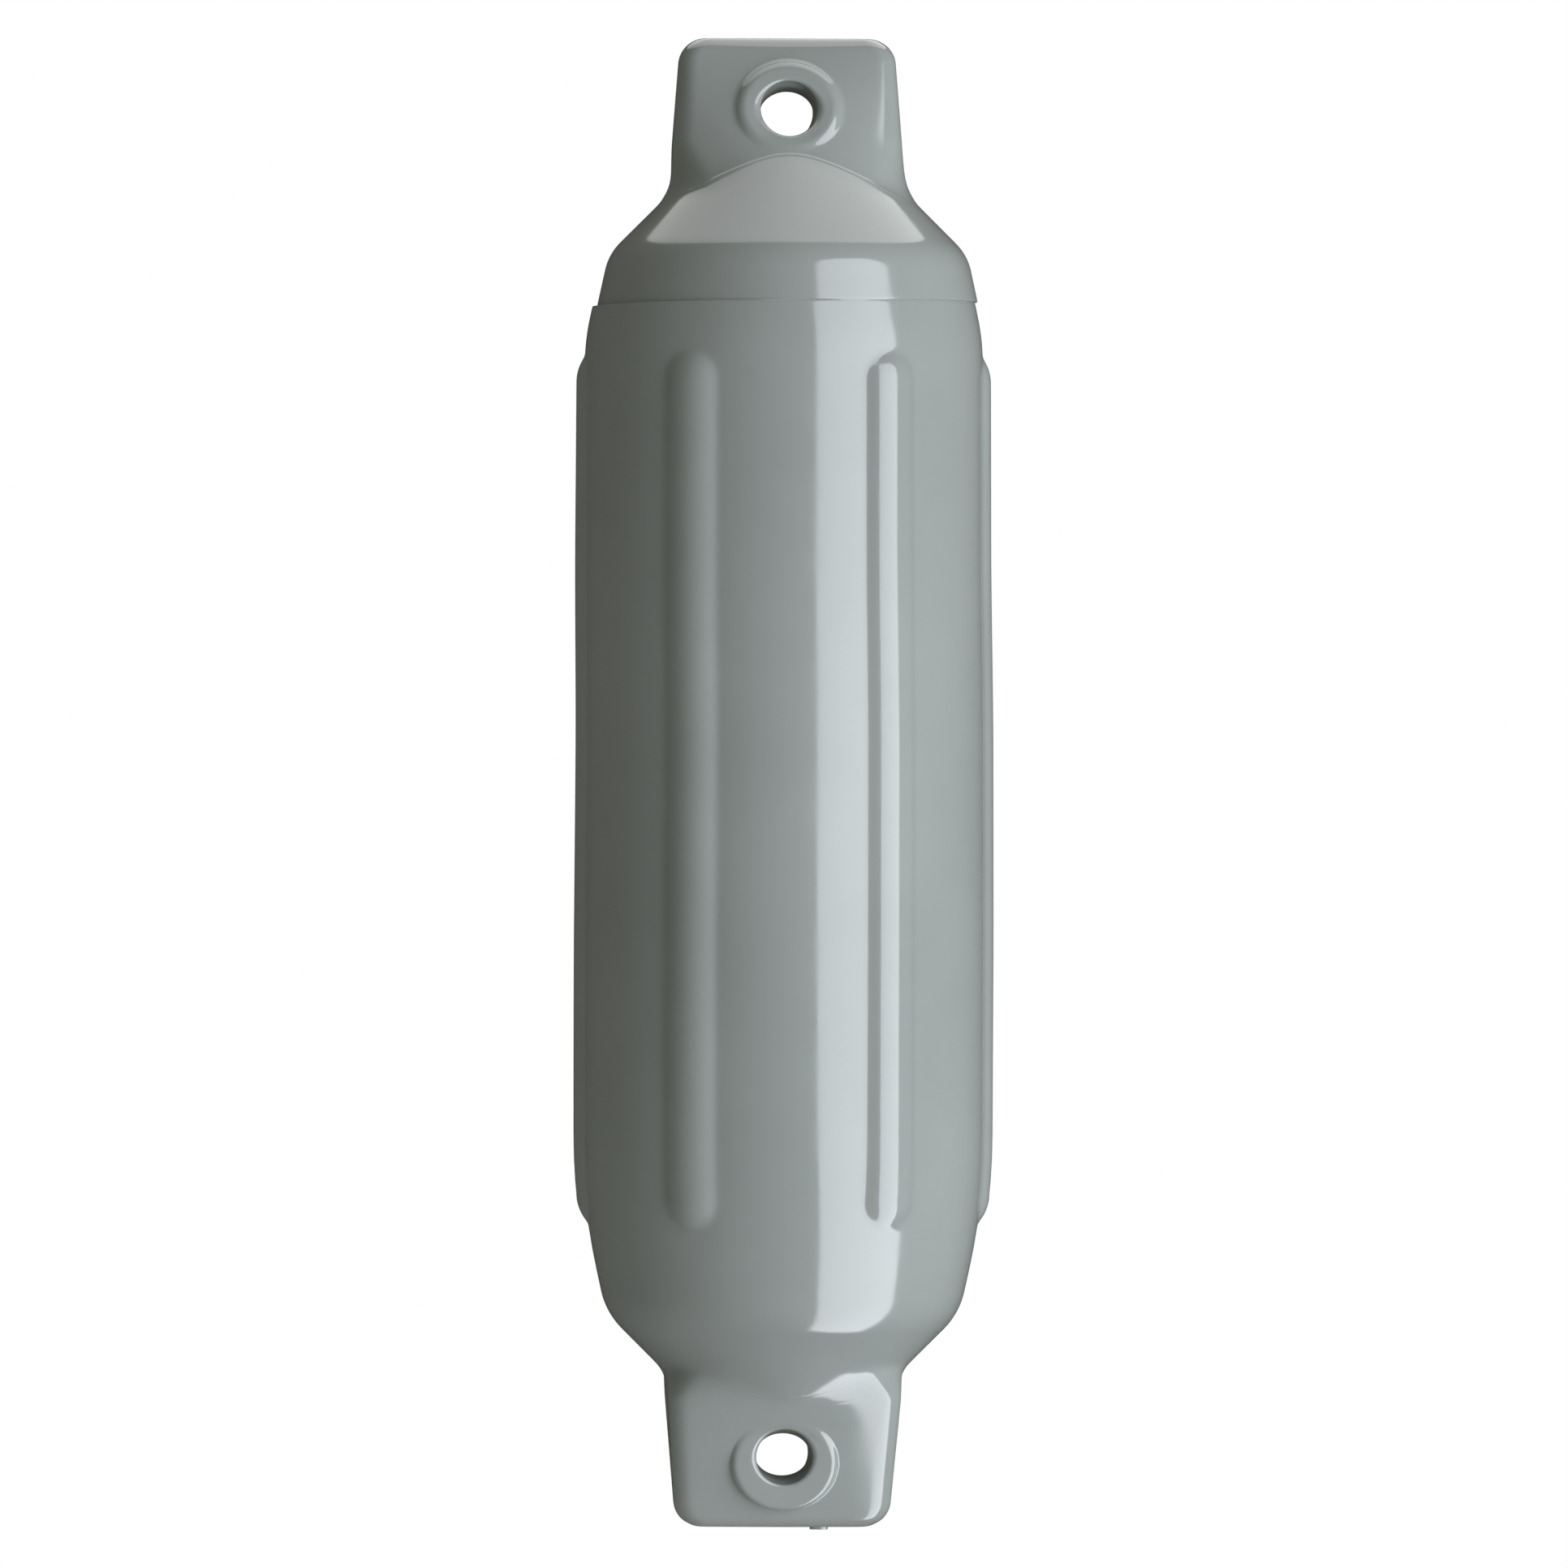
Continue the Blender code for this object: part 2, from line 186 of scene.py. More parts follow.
def lugSection(depth):
    # half width, half thickness, corner rounding and crown of a lug's section
    inward, lower = max(inwardOf(depth), 0.0), isLower(depth)
    slope = lugShape["lowerFaceSlope"] if lower else lugShape["upperFaceSlope"]
    halfWidth = lugShape["width"] / 2 + inward * math.tan(lugShape["sideTaper"])
    halfThick = min(lugShape["thickness"] / 2 + inward * math.tan(slope), halfWidth)
    halfWidth -= roundingInset(inward, lugShape["cornerRounding"])
    halfThick -= roundingInset(inward, lugShape["edgeRounding"])
    start, growth = lugShape["cornerGrowth"][lower]
    corner = lugShape["corner"] + growth * max(inward - start, 0.0)
    return halfWidth, halfThick, min(corner, lugShape["cornerLimit"] * halfThick), lugCrown(inward, lower)


def roundedBox(halfWidth, halfThick, corner, across, along):
    # how far a box with rounded corners reaches in the direction (across, along)
    flatWidth, flatThick = halfWidth - corner, halfThick - corner
    if along * halfWidth <= across * flatThick:
        return halfWidth / across
    if across * halfThick <= along * flatWidth:
        return halfThick / along
    middle = flatWidth * across + flatThick * along
    return middle + math.sqrt(max(middle**2 - flatWidth**2 - flatThick**2 + corner**2, 0))


def lugRadius(depth, heading):
    # how far the box with its bowed faces reaches, found by a few corrections
    halfWidth, halfThick, corner, crown = lugSection(depth)
    across, along = abs(math.cos(heading)), abs(math.sin(heading))
    reach = roundedBox(halfWidth, halfThick, corner, across, along)
    for _ in range(lugShape["crownPasses"]):
        x = reach * across
        y = reach * along + crown * x * x
        length = math.hypot(x, y)
        share = roundedBox(halfWidth, halfThick, corner, x / length, y / length) / length
        reach *= share
        if abs(share - 1) < lugShape["crownTolerance"]:
            break
    return reach


def ribRadius(depth, heading):
    # a sunk round bar with ball ends, as seen from the axis
    past = max(ribShape["top"] - depth, depth - ribShape["bottom"], 0.0)
    if past >= ribShape["radius"]:
        return 0.0
    pitch = 2 * math.pi / ribShape["count"]
    off = (heading + pitch / 2) % pitch - pitch / 2
    held = max(ribShape["top"], min(ribShape["bottom"], depth))
    centre = barrelRadius(held) + ribShape["rise"] - ribShape["radius"]
    reach = ribShape["radius"] ** 2 - past**2 - (centre * math.sin(off)) ** 2
    return centre * math.cos(off) + math.sqrt(reach) if reach > 0 else 0.0


def blendedMax(first, second, fillet):
    near = max(fillet - abs(first - second), 0.0) / fillet
    return max(first, second) + near**3 * fillet / 6


def lugFillet(depth, heading):
    # crisp on the middle of a face, wider towards its corners, and gone below the lug
    kinds = ("faceFillets", "cornerFillets", "sideFillets")
    face, corner, side = (lugShape[kind][isLower(depth)] for kind in kinds)
    aside = abs(math.cos(heading))
    fillet = face + (corner - face) * smoothStep(*lugShape["faceToCorner"], aside)
    fillet += (side - corner) * smoothStep(*lugShape["cornerToSide"], aside)
    return fillet * (1 - smoothStep(*lugShape["filletFade"], inwardOf(depth))) + lugShape["leastFillet"]


def skinRadius(depth, heading, capped):
    barrel = barrelRadius(depth) - (seamShape["step"] if capped else 0.0)
    if inwardOf(depth) <= lugShape["reach"]:
        return blendedMax(lugRadius(depth, heading), barrel, lugFillet(depth, heading))
    return blendedMax(ribRadius(depth, heading), barrel, ribShape["fillet"])


def waviness(depth, heading):
    around, along = barrelShape["waveLength"]
    spot = Vector((math.cos(heading), math.sin(heading), 0)) * barrelShape["radius"] / around
    spot.z = depth / along
    start, end = barrelShape["waveReach"]
    run = barrelShape["waveFade"]
    fade = clamped((depth - start) / run) * clamped((end - depth) / run)
    return barrelShape["waveHeight"] * (noise.noise(spot) - barrelShape["waveShift"]) * fade


def sideways(depth, capped):
    if capped:
        return seamShape["capShift"] * smoothStep(*seamShape["capReach"], depth)
    return seamShape["barrelShift"] * (1 - smoothStep(*seamShape["barrelReach"], depth))


def seamWarp(depth, heading):
    # the parting line isn't level: it runs lower at the left and at the front
    away = (depth - seamShape["depth"]) / seamShape["warpReach"]
    window = max(1 - away * away, 0.0) ** 2
    left = seamShape["leftDrop"] * (1 - math.cos(heading)) / 2
    front = seamShape["frontDrop"] * max(-math.sin(heading), 0.0)
    return window * (left + front)


def skinPoint(ringDepth, heading, groove=0.0):
    capped = ringDepth < seamShape["depth"]
    depth = ringDepth + seamWarp(ringDepth, heading)
    radius = skinRadius(depth, heading, capped) + waviness(depth, heading) - groove
    x = radius * math.cos(heading) + sideways(depth, capped)
    return Vector((x, radius * math.sin(heading), -depth))


# rings and columns of the skin

skinGrid = {
    "nearRib": 10,  # columns one degree apart on each side of a rib
    "between": 16,  # columns from one rib's surroundings to the next
    "endTurn": 6,  # degrees from one ring to the next on the rounded end of a lug
    "lugPitch": 0.0012,
    "capBand": (0.0605, 0.0012),  # the depth at which the cap's rings end, and their pitch
    "bands": [  # from, to, pitch
        (0.0634, 0.0740, 0.0013),
        (0.0740, 0.1000, 0.0011),
        (0.1000, 0.3400, 0.0060),
        (0.3400, 0.3660, 0.0011),
    ],
    "shoulderBand": (0.3660, 0.0013),  # the depth at which the lower shoulder's rings start, and their pitch
    "seamRings": 8,
    "outlineSamples": 240,
}


def ringDepths():
    top, bottom = barrelShape["upperEnd"], barrelShape["lowerEnd"]
    rounding = lugShape["cornerRounding"]
    turns = range(0, 91, skinGrid["endTurn"])
    inwards = [rounding * (1 - math.cos(math.radians(turn))) for turn in turns]
    steps = round((lugShape["reach"] - rounding) / skinGrid["lugPitch"])
    inwards += [rounding + skinGrid["lugPitch"] * step for step in range(1, steps + 1)]
    depths = [top + inward for inward in inwards] + [bottom - inward for inward in inwards]
    capEnd, capPitch = skinGrid["capBand"]
    shoulder, shoulderPitch = skinGrid["shoulderBand"]
    bands = [(top + lugShape["reach"], capEnd, capPitch), *skinGrid["bands"]]
    bands.append((shoulder, bottom - lugShape["reach"], shoulderPitch))
    for start, end, pitch in bands:
        count = round((end - start) / pitch)
        depths += [start + (end - start) * (step + 0.5) / count for step in range(count)]
    pitch, count = seamShape["groovePitch"], skinGrid["seamRings"]
    depths += [seamShape["depth"] + pitch * (step - (count - 1) / 2) for step in range(count)]
    return sorted(depths)


def columnHeadings():
    # headings of the columns round one quarter, as shares of it
    pitch, near, steps = 360 // ribShape["count"], skinGrid["nearRib"], skinGrid["between"]
    wide = pitch - 2 * near
    turns = [float(turn) for turn in range(near)]
    turns += [near + wide * step / steps for step in range(steps)]
    turns += [float(turn) for turn in range(pitch - near, pitch + near)]
    turns += [pitch + near + wide * step / steps for step in range(steps // 2)]
    return [turn / 90 for turn in turns]


quarterShares = columnHeadings()
columnCount = 4 * len(quarterShares)


def outlineHeadings(depth):
    # where the columns cross a lug's outline: the shares are lengths along it
    capped = depth < seamShape["depth"]
    samples = skinGrid["outlineSamples"]
    headings, lengths, last = [], [0.0], None
    for step in range(samples + 1):
        heading = math.pi / 2 * step / samples
        radius = skinRadius(depth, heading, capped)
        here = Vector((radius * math.cos(heading), radius * math.sin(heading)))
        if last is not None:
            lengths.append(lengths[-1] + (here - last).length)
        last = here
        headings.append(heading)
    found = []
    for share in quarterShares:
        goal = share * lengths[-1]
        index = min(max(bisect.bisect_right(lengths, goal), 1), samples)
        part = (goal - lengths[index - 1]) / max(lengths[index] - lengths[index - 1], 1e-9)
        found.append(headings[index - 1] + part * (headings[index] - headings[index - 1]))
    return found


def ringHeadings(depth):
    if inwardOf(depth) < lugShape["reach"]:
        quarter = outlineHeadings(depth)
    else:
        quarter = [share * math.pi / 2 for share in quarterShares]
    half = quarter + [math.pi / 2] + [math.pi - heading for heading in reversed(quarter[1:])]
    return half + [math.pi + heading for heading in half]


def deselectAll():
    if bpy.context.object and bpy.context.object.mode != "OBJECT":
        bpy.ops.object.mode_set(mode="OBJECT")
    bpy.ops.object.select_all(action="DESELECT")


def seamGroove(depth):
    away = (depth - seamShape["depth"]) / seamShape["groovePitch"]
    return seamShape["groove"] * math.exp(-(away**2) / 2)


def makeSkin():
    depths = ringDepths()
    rows = [ringHeadings(depth) for depth in depths]
    deselectAll()
    bpy.ops.mesh.primitive_uv_sphere_add(segments=columnCount, ring_count=len(depths) + 1, radius=1)
    skin = bpy.context.object
    skin.name = skin.data.name = "fenderSkin"
    for vertex in skin.data.vertices:
        ring = round(math.acos(max(-1.0, min(1.0, vertex.co.z))) / math.pi * (len(depths) + 1)) - 1
        if 0 <= ring < len(depths):
            turn = math.atan2(vertex.co.y, vertex.co.x) / (2 * math.pi)
            column = round(turn * columnCount) % columnCount
            vertex.co = skinPoint(depths[ring], rows[ring][column], seamGroove(depths[ring]))
        else:
            vertex.co = (0, 0, -depths[max(0, min(ring, len(depths) - 1))])
    return skin


# round openings: the hole is cut out of the grid and its rim drawn inwards, ring by ring

eyeShape = {
    "throat": 0.0091,
    "boss": 0.0173,
    "rim": 0.0195,  # where the grid is cut
    "footRings": [
        0.0190, 0.0185, 0.0181, 0.0178, 0.01755, 0.0173,
        0.0170, 0.0166, 0.0161, 0.0155, 0.0148, 0.0141,
    ],
    "steepShare": 0.1,  # of an edge rounding, where the straight flank takes over
    "crestSteps": 4,
    "mouthSteps": 9,
    "throatSteps": 5,
}
rimCut = {
    "depth": 0.014,  # how far over and under its plane a rim reaches
    "facing": 0.1,  # the least that a face has to look outward to be cut
    "loop": 1.6,  # of the rim's radius, in which its loop is looked for
}
riseSearch = {"low": -0.0200, "high": 0.0120, "halvings": 26}
eyeEnds = {
    1: {  # upper
        "rise": 0.0007,
        "shift": 0.0005,  # how much nearer to the lug's end the boss lies than its hole
        "tilt": math.radians(22.5),
        "edge": 0.0036,
        "flank": 1.6,
        "fillet": 0.0036,
        "mouth": (0.0008, 0.0030, 0.0011),  # rounding at its barrel side, at left and right, at its end side
        "waist": (0.0002, 0.0016),  # how much narrower and lower the throat is in its middle
        "lift": -0.0012,
    },
    -1: {  # lower
        "rise": 0.0010,
        "shift": 0.0024,
        "tilt": math.radians(21.0),
        "edge": 0.0022,
        "flank": 3.0,
        "fillet": 0.0015,
        "mouth": (0.0012, 0.0018, 0.0013),
        "waist": (0.0002, 0.0022),
        "lift": 0.0,
    },
}
valveShape = {
    "depth": 0.0346,
    "tilt": math.radians(45),
    "rim": 0.0098,
    "pocket": 0.0073,
    "pocketDepth": 0.0061,
    "wallRings": (-0.0003, -0.0008),
    "bottomRounding": 0.0003,
    "lipRings": [  # radius, rise
        (0.0092, 0.00000),
        (0.0088, 0.00006),
        (0.0084, 0.00018),
        (0.0080, 0.00022),
        (0.0077, 0.00016),
    ],
}


def faceFrame(place, outward):
    # a frame on the surface: u is to the right, w is outward
    w = outward.normalized()
    u = Vector((1, 0, 0))
    v = w.cross(u)
    return place, u, v, w


def surfaceRise(frameOf, offU, offV):
    # how far along w the skin lies over this spot of the frame
    place, u, v, w = frameOf
    low, high = riseSearch["low"], riseSearch["high"]
    for _ in range(riseSearch["halvings"]):
        middle = (low + high) / 2
        point = place + u * offU + v * offV + w * middle
        depth = min(max(-point.z, barrelShape["upperEnd"]), barrelShape["lowerEnd"])
        capped = depth < seamShape["depth"]
        reach = math.hypot(point.x - sideways(depth, capped), point.y)
        heading = math.atan2(point.y, point.x - sideways(depth, capped))
        inside = reach < skinRadius(depth, heading, capped) and -point.z == depth
        low, high = (middle, high) if inside else (low, middle)
    return (low + high) / 2


def cutRim(skin, frameOf, rimRadius):
    # deletes the grid that reaches into the rim and rounds off what is left; each vertex keeps its turn
    place, u, v, w = frameOf
    deselectAll()
    bpy.context.view_layer.objects.active = skin
    skin.select_set(True)
    bpy.ops.object.mode_set(mode="EDIT")
    bpy.ops.mesh.select_mode(type="FACE")
    bpy.ops.mesh.select_all(action="DESELECT")
    sheet = bmesh.from_edit_mesh(skin.data)
    for face in sheet.faces:
        arms = [vert.co - place for vert in face.verts]
        arms = [arm for arm in arms if abs(arm.dot(w)) < rimCut["depth"]]
        near = any(math.hypot(arm.dot(u), arm.dot(v)) < rimRadius for arm in arms)
        face.select_set(near and face.normal.dot(w) > rimCut["facing"])
    bmesh.update_edit_mesh(skin.data)
    bpy.ops.mesh.delete(type="FACE")
    bpy.ops.mesh.select_mode(type="EDGE")
    sheet = bmesh.from_edit_mesh(skin.data)
    turnLayer = sheet.verts.layers.float.get("turn") or sheet.verts.layers.float.new("turn")
    rimEdges = [edge for edge in sheet.edges if edge.is_boundary]
    rimVerts = {vertex for edge in rimEdges for vertex in edge.verts}
    rimVerts = {vert for vert in rimVerts if (vert.co - place).length < rimRadius * rimCut["loop"]}
    order = loopOrder(rimVerts)
    rimVerts = set(order)
    turns = evenTurns([math.atan2((vert.co - place).dot(v), (vert.co - place).dot(u)) for vert in order])
    for vert, turn in zip(order, turns):
        offU, offV = rimRadius * math.cos(turn), rimRadius * math.sin(turn)
        vert.co = place + u * offU + v * offV + w * surfaceRise(frameOf, offU, offV)
        vert[turnLayer] = turn
    for edge in rimEdges:
        edge.select_set(edge.verts[0] in rimVerts and edge.verts[1] in rimVerts)
    bmesh.update_edit_mesh(skin.data)


def evenTurns(turns, passes=6):
    # takes the steps out of a rim's turns, with each vertex still near its own
    full = 2 * math.pi
    for spot in range(1, len(turns)):
        turns[spot] += full * round((turns[spot - 1] - turns[spot]) / full)
    for _ in range(passes):
        before, after = [turns[-1] - full] + turns[:-1], turns[1:] + [turns[0] + full]
        turns = [(first + 2 * turn + last) / 4 for first, turn, last in zip(before, turns, after)]
    return turns


def loopOrder(rimVerts):
    # the rim's vertices in order, anticlockwise as seen from outside
    first = min(rimVerts, key=lambda vert: (round(vert.co.z, 5), vert.co.x))
    order, last, here = [first], None, first
    while True:
        steps = [edge.other_vert(here) for edge in here.link_edges if edge.is_boundary]
        onward = [vert for vert in steps if vert is not last and vert in rimVerts]
        if not order[1:]:
            onward = [vert for vert in onward if windsRight(first, vert)] or onward[:1]
        if onward[0] is first:
            return order
        last, here = here, onward[0]
        order.append(here)


def windsRight(first, second):
    # at the lowest vertex of a rim, anticlockwise from outside runs to +X on the front
    face = [edge for edge in first.link_edges if edge.other_vert(first) is second][0].link_faces[0]
    verts = list(face.verts)
    return verts[(verts.index(second) + 1) % len(verts)] is first


def drawRim(skin, placeVertex):
    # extrudes the selected rim once and puts its new vertices in their places
    bpy.ops.mesh.extrude_edges_move()
    sheet = bmesh.from_edit_mesh(skin.data)
    turnLayer = sheet.verts.layers.float["turn"]
    for vert in sheet.verts:
        if vert.select:
            vert.co = placeVertex(vert[turnLayer])
    bmesh.update_edit_mesh(skin.data)


def bossHeight(boss, reach):
    # the boss over its own plane, at this distance from its middle
    edge, outer = boss["edge"], eyeShape["boss"]
    steep = eyeShape["steepShare"] * edge
    if reach < outer - edge:
        return 0.0
    if reach < outer - steep:
        return -roundingInset(outer - reach, edge)
    return -roundingInset(steep, edge) - (reach - outer + steep) * boss["flank"]


def mouthRounding(boss, endward):
    # endward is 1 towards the lug's end and -1 towards the barrel
    inner, middle, outer = boss["mouth"]
    return middle + ((outer if endward > 0 else inner) - middle) * smoothStep(0.0, 1.0, abs(endward))


def openEye(skin, end, side):
    # one face of a lug: foot, flank, crest, rounded mouth and half of the throat
    # place is where the axis of the hole meets the boss's plane, middle is the centre of the boss
    boss = eyeEnds[end]
    eyeDepth = 0.0 if end > 0 else barrelShape["lowerEnd"] + barrelShape["upperEnd"]
    place = Vector((0, side * (lugSection(eyeDepth)[1] + boss["rise"]), -eyeDepth))
    rise, run = math.sin(boss["tilt"]), math.cos(boss["tilt"])
    middle = place + Vector((0, -side * rise, end * run)) * boss["shift"]
    frameOf = faceFrame(middle, Vector((0, side * run, end * rise)))
    u, v, w = frameOf[1:]
    cutRim(skin, frameOf, eyeShape["rim"])

    def onFace(reach):
        def placeVertex(turn):
            offU, offV = reach * math.cos(turn), reach * math.sin(turn)
            level = blendedMax(surfaceRise(frameOf, offU, offV), bossHeight(boss, reach), boss["fillet"])
            return middle + u * offU + v * offV + w * level
        return placeVertex

    # for each turn, how far the face stands over the boss's plane: the mouth rises to the face there
    lifts = {}

    def inMouth(bend):
        def placeVertex(turn):
            direction = (u * math.cos(turn) + v * math.sin(turn)).normalized()
            line = Vector((direction.x, 0, direction.z)).normalized() * eyeShape["throat"]
            onPlane = place + line + Vector((0, 1, 0)) * (-line.dot(w) / w.y)
            rounding = mouthRounding(boss, direction.z * end)
            if turn not in lifts:
                arm = onPlane + direction * rounding - middle
                lifts[turn] = max(surfaceRise(frameOf, arm.dot(u), arm.dot(v)), 0.0) / w.y
            onPlane.y += lifts[turn]
            outer, inner = direction * rounding, Vector((0, -side, 0)) * rounding
            return onPlane + outer * (1 - math.sin(bend)) + inner * (1 - math.cos(bend))
        return placeVertex

    def inThroat(share):
        def placeVertex(turn):
            start = inMouth(math.pi / 2)(turn)
            squeeze = math.sin(share * math.pi / 2)
            narrow = [1 - squeeze * waist / eyeShape["throat"] for waist in boss["waist"]]
            level = (start.z + eyeDepth) * narrow[1] + boss["lift"] * squeeze - eyeDepth
            return Vector((start.x * narrow[0], start.y * (1 - share), level))
        return placeVertex

    crest = inMouth(0)
    for reach in eyeShape["footRings"]:
        drawRim(skin, onFace(reach))
    for step in range(1, eyeShape["crestSteps"]):
        share = step / eyeShape["crestSteps"]
        drawRim(skin, lambda turn: onFace(eyeShape["footRings"][-1])(turn).lerp(crest(turn), share))
    for step in range(eyeShape["mouthSteps"] + 1):
        drawRim(skin, inMouth(math.pi / 2 * step / eyeShape["mouthSteps"]))
    for step in range(eyeShape["throatSteps"]):
        drawRim(skin, inThroat((step + 1) / eyeShape["throatSteps"]))
    bpy.ops.object.mode_set(mode="OBJECT")


def openValve(skin):
    depth = valveShape["depth"]
    place = Vector((sideways(depth, True), barrelRadius(depth) - seamShape["step"], -depth))
    tilt = valveShape["tilt"]
    frameOf = faceFrame(place, Vector((0, math.cos(tilt), math.sin(tilt))))
    u, v, w = frameOf[1:]
    cutRim(skin, frameOf, valveShape["rim"])

    def ringAt(reach, rise, flat):
        def placeVertex(turn):
            offU, offV = reach * math.cos(turn), reach * math.sin(turn)
            level = 0.0 if flat else surfaceRise(frameOf, offU, offV)
            return place + u * offU + v * offV + w * (level + rise)
        return placeVertex

    for reach, rise in valveShape["lipRings"]:
        drawRim(skin, ringAt(reach, rise, False))
    wall, bottom, rounding = valveShape["pocket"], -valveShape["pocketDepth"], valveShape["bottomRounding"]
    for rise in valveShape["wallRings"]:
        drawRim(skin, ringAt(wall, rise, False))
    drawRim(skin, ringAt(wall, bottom + rounding, True))
    drawRim(skin, ringAt(wall - rounding, bottom, True))
    bpy.ops.mesh.edge_face_add()
    bpy.ops.object.mode_set(mode="OBJECT")


gateMark = {
    "radius": 0.0030,
    "flattening": 0.55,
    "offset": 0.0120,
    "rise": 0.0009,
    "root": 0.0012,
    "edge": 0.0003,
}


def addGateMark(skin):
    # the stub that the moulding gate leaves on the lower end
    shape = gateMark
    bottom = -barrelShape["lowerEnd"]
    deselectAll()
    bpy.ops.mesh.primitive_cylinder_add(
        vertices=48,
        radius=shape["radius"],
        depth=shape["rise"] + shape["root"],
        location=(shape["offset"], 0, bottom + (shape["root"] - shape["rise"]) / 2),
    )
    mark = bpy.context.object
    mark.scale.y = shape["flattening"]
    bpy.ops.object.transform_apply(location=True, rotation=True, scale=True)
    bpy.ops.object.mode_set(mode="EDIT")
    bpy.ops.mesh.select_mode(type="FACE")
    bpy.ops.mesh.select_all(action="DESELECT")
    sheet = bmesh.from_edit_mesh(mark.data)
    for face in sheet.faces:
        face.select_set(face.normal.z < -0.9)
    bmesh.update_edit_mesh(mark.data)
    bpy.ops.mesh.bevel(offset=shape["edge"], segments=3, affect="EDGES")
    bpy.ops.mesh.select_all(action="DESELECT")
    sheet = bmesh.from_edit_mesh(mark.data)
    for face in sheet.faces:
        face.select_set(face.normal.z > 0.9)
    bmesh.update_edit_mesh(mark.data)
    bpy.ops.mesh.delete(type="FACE")
    bpy.ops.object.mode_set(mode="OBJECT")
    deselectAll()
    mark.select_set(True)
    skin.select_set(True)
    bpy.context.view_layer.objects.active = skin
    bpy.ops.object.join()


def finishSkin(skin):
    deselectAll()
    bpy.context.view_layer.objects.active = skin
    skin.select_set(True)
    bpy.ops.object.mode_set(mode="EDIT")
    bpy.ops.mesh.select_all(action="SELECT")
    bpy.ops.mesh.remove_doubles(threshold=0.00001)
    bpy.ops.mesh.normals_make_consistent(inside=False)
    bpy.ops.object.mode_set(mode="OBJECT")
    bpy.ops.object.shade_smooth_by_angle(angle=math.radians(40))


skin = makeSkin()
print("skin laid out:", len(skin.data.vertices), "vertices")
for end in (1, -1):
    for side in (-1, 1):
        openEye(skin, end, side)
openValve(skin)
addGateMark(skin)
finishSkin(skin)
print("eyes and valve opened:", len(skin.data.vertices), "vertices")


# finishes

vinylFinish = {
    "colour": (0.262, 0.283, 0.277),
    "shade": (0.236, 0.256, 0.250),
    "roughness": (0.085, 0.150),
    "peelScale": 420.0,
    "peelDepth": 0.0000035,
    "scuffScale": 55.0,
    "scuffRange": (0.3, 0.75),
    "cloudScale": 9.0,
    "cloudRange": (0.35, 0.65),
    "refraction": 1.52,
}
valveFinish = {
    "colour": (0.040, 0.042, 0.043),
    "shade": (0.060, 0.062, 0.062),
    "roughness": (0.32, 0.50),
    "grainScale": 900.0,
    "grainRange": (0.3, 0.7),
    "grainDepth": 0.00003,
}


def newFinish(name):
    finish = bpy.data.materials.new(name)
    finish.use_nodes = True
    return finish, finish.node_tree.nodes, finish.node_tree.links


def addNode(nodes, kind, **settings):
    node = nodes.new(kind)
    for key, value in settings.items():
        if hasattr(node, key):
            setattr(node, key, value)
        else:
            node.inputs[key.replace("_", " ")].default_value = value
    return node


def addRamp(nodes, links, source, low, high, first=0.0, last=1.0):
    ramp = addNode(nodes, "ShaderNodeMapRange", clamp=True)
    for socket, value in (("From Min", low), ("From Max", high), ("To Min", first), ("To Max", last)):
        ramp.inputs[socket].default_value = value
    links.new(source, ramp.inputs["Value"])
    return ramp.outputs["Result"]


# the fine lines that the mould's parts leave across the foot of a lug: how far inward one runs at the
# front, how fast it falls off sideways, and its share of the height
mouldLines = [
    {"end": 1, "start": 0.0387, "fall": 0.521, "height": 1.0},
    {"end": -1, "start": 0.0430, "fall": 0.37, "height": 0.4},
    {"end": -1, "start": 0.0395, "fall": 0.30, "height": 0.25},
]
mouldLine = {"soften": 0.0065, "width": 0.0006, "reach": (0.0330, 0.0385), "depth": 0.00010}


def addMath(nodes, links, operation, *values):
    node = addNode(nodes, "ShaderNodeMath", operation=operation)
    for socket, value in zip(node.inputs, values):
        if isinstance(value, (int, float)):
            socket.default_value = value
        else:
            links.new(value, socket)
    return node.outputs[0]


def addMouldLines(nodes, links, place):
    # the height of the lines, from 0 to 1
    split = addNode(nodes, "ShaderNodeSeparateXYZ")
    links.new(place, split.inputs[0])
    soft, total = mouldLine["soften"], None
    for line in mouldLines:
        end = line["end"]
        edge = -barrelShape["upperEnd"] if end > 0 else -barrelShape["lowerEnd"]
        inward = addMath(nodes, links, "MULTIPLY_ADD", split.outputs["Z"], -end, end * edge)
        sloped = addMath(nodes, links, "MULTIPLY", split.outputs["X"], line["fall"])
        squared = addMath(nodes, links, "MULTIPLY_ADD", sloped, sloped, soft**2)
        softened = addMath(nodes, links, "SQRT", squared)
        curve = addMath(nodes, links, "ADD", softened, line["start"] - soft)
        off = addMath(nodes, links, "ABSOLUTE", addMath(nodes, links, "SUBTRACT", inward, curve))
        crest = addRamp(nodes, links, off, 0.0, mouldLine["width"], line["height"], 0.0)
        total = crest if total is None else addMath(nodes, links, "MAXIMUM", total, crest)
    aside = addMath(nodes, links, "ABSOLUTE", split.outputs["X"])
    fade = addRamp(nodes, links, aside, *mouldLine["reach"], 1.0, 0.0)
    return addMath(nodes, links, "MULTIPLY", total, fade)


